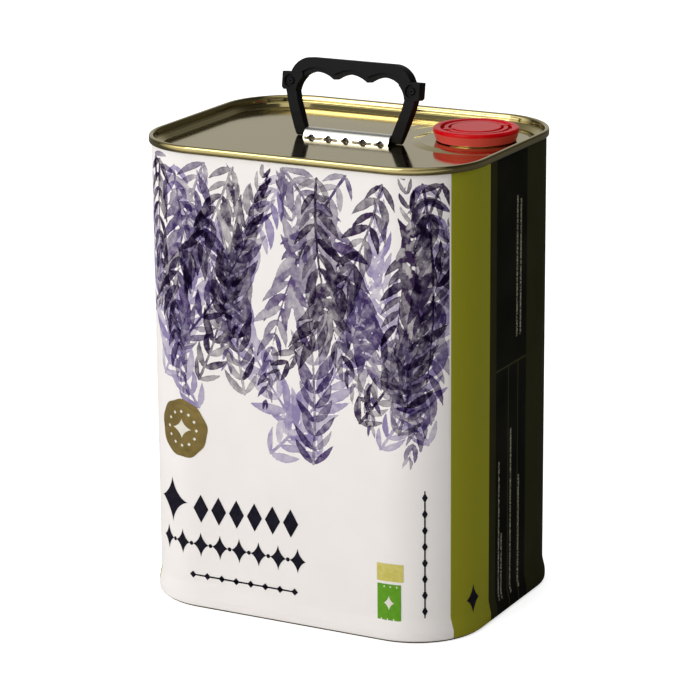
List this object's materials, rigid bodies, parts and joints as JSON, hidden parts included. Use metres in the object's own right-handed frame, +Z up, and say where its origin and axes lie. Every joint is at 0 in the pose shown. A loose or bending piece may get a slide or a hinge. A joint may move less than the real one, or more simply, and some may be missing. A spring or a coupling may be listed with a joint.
{
  "type": "olive oil tin with spout",
  "caption": "Rectangular olive oil tin with rounded corners, a folding carry handle on the sunk lid and a pull-out pouring spout under a cap with pull rings.",
  "frame": {"origin": "middle of the foot, on the surface that the tin stands on", "axes": "+Z up through the lid, X along the long side with the spout on +X, the front face towards -Y"},
  "size_m": [0.1514, 0.1184, 0.2285],
  "materials": {
    "printed_tinplate": "printed, satin varnish",
    "gold_lacquered_tinplate": "bright gold lacquer",
    "plain_tinplate": "bright tin",
    "bright_steel": "bright",
    "black_plastic": "satin",
    "red_plastic": "gloss",
    "natural_plastic": "satin",
    "seam_rubber": "matte"
  },
  "bodies": {
    "tin": {"body_shell": "printed_tinplate", "top_end": "gold_lacquered_tinplate", "bottom_end": "plain_tinplate", "top_seam_compound": "seam_rubber", "bottom_seam_compound": "seam_rubber", "handle_strap": "bright_steel", "spout_base": "red_plastic"},
    "handle": {"handle_bail": "black_plastic", "handle_grip": "black_plastic", "grip_pin_left": "black_plastic", "grip_pin_right": "black_plastic"},
    "spout": {"pouring_spout": "natural_plastic"},
    "cap": {"spout_cap": "red_plastic", "cap_liner": "natural_plastic"},
    "rear_pull": {"pull_bail_rear": "red_plastic"},
    "front_pull": {"pull_bail_front": "red_plastic"}
  },
  "joints": [
    {"name": "handle_swing", "type": "hinge", "parent": "tin", "child": "handle", "pos_m": [0, 0, 0.1971], "axis": [1, 0, 0], "range_deg": [-53, 79]},
    {"name": "spout_slide", "type": "slide", "parent": "tin", "child": "spout", "axis": [0, 0, 1], "range_m": [0, 0.02]},
    {"name": "cap_lift", "type": "slide", "parent": "spout", "child": "cap", "axis": [0, 0, 1], "range_m": [0, 0.025]},
    {"name": "rear_pull_tip", "type": "hinge", "parent": "cap", "child": "rear_pull", "pos_m": [0.04804, 0.02056, 0.20135], "axis": [0.7071, 0.7071, 0], "range_deg": [0, 90]},
    {"name": "front_pull_tip", "type": "hinge", "parent": "cap", "child": "front_pull", "pos_m": [0.05016, 0.01844, 0.20135], "axis": [-0.7071, -0.7071, 0], "range_deg": [0, 90]}
  ]
}
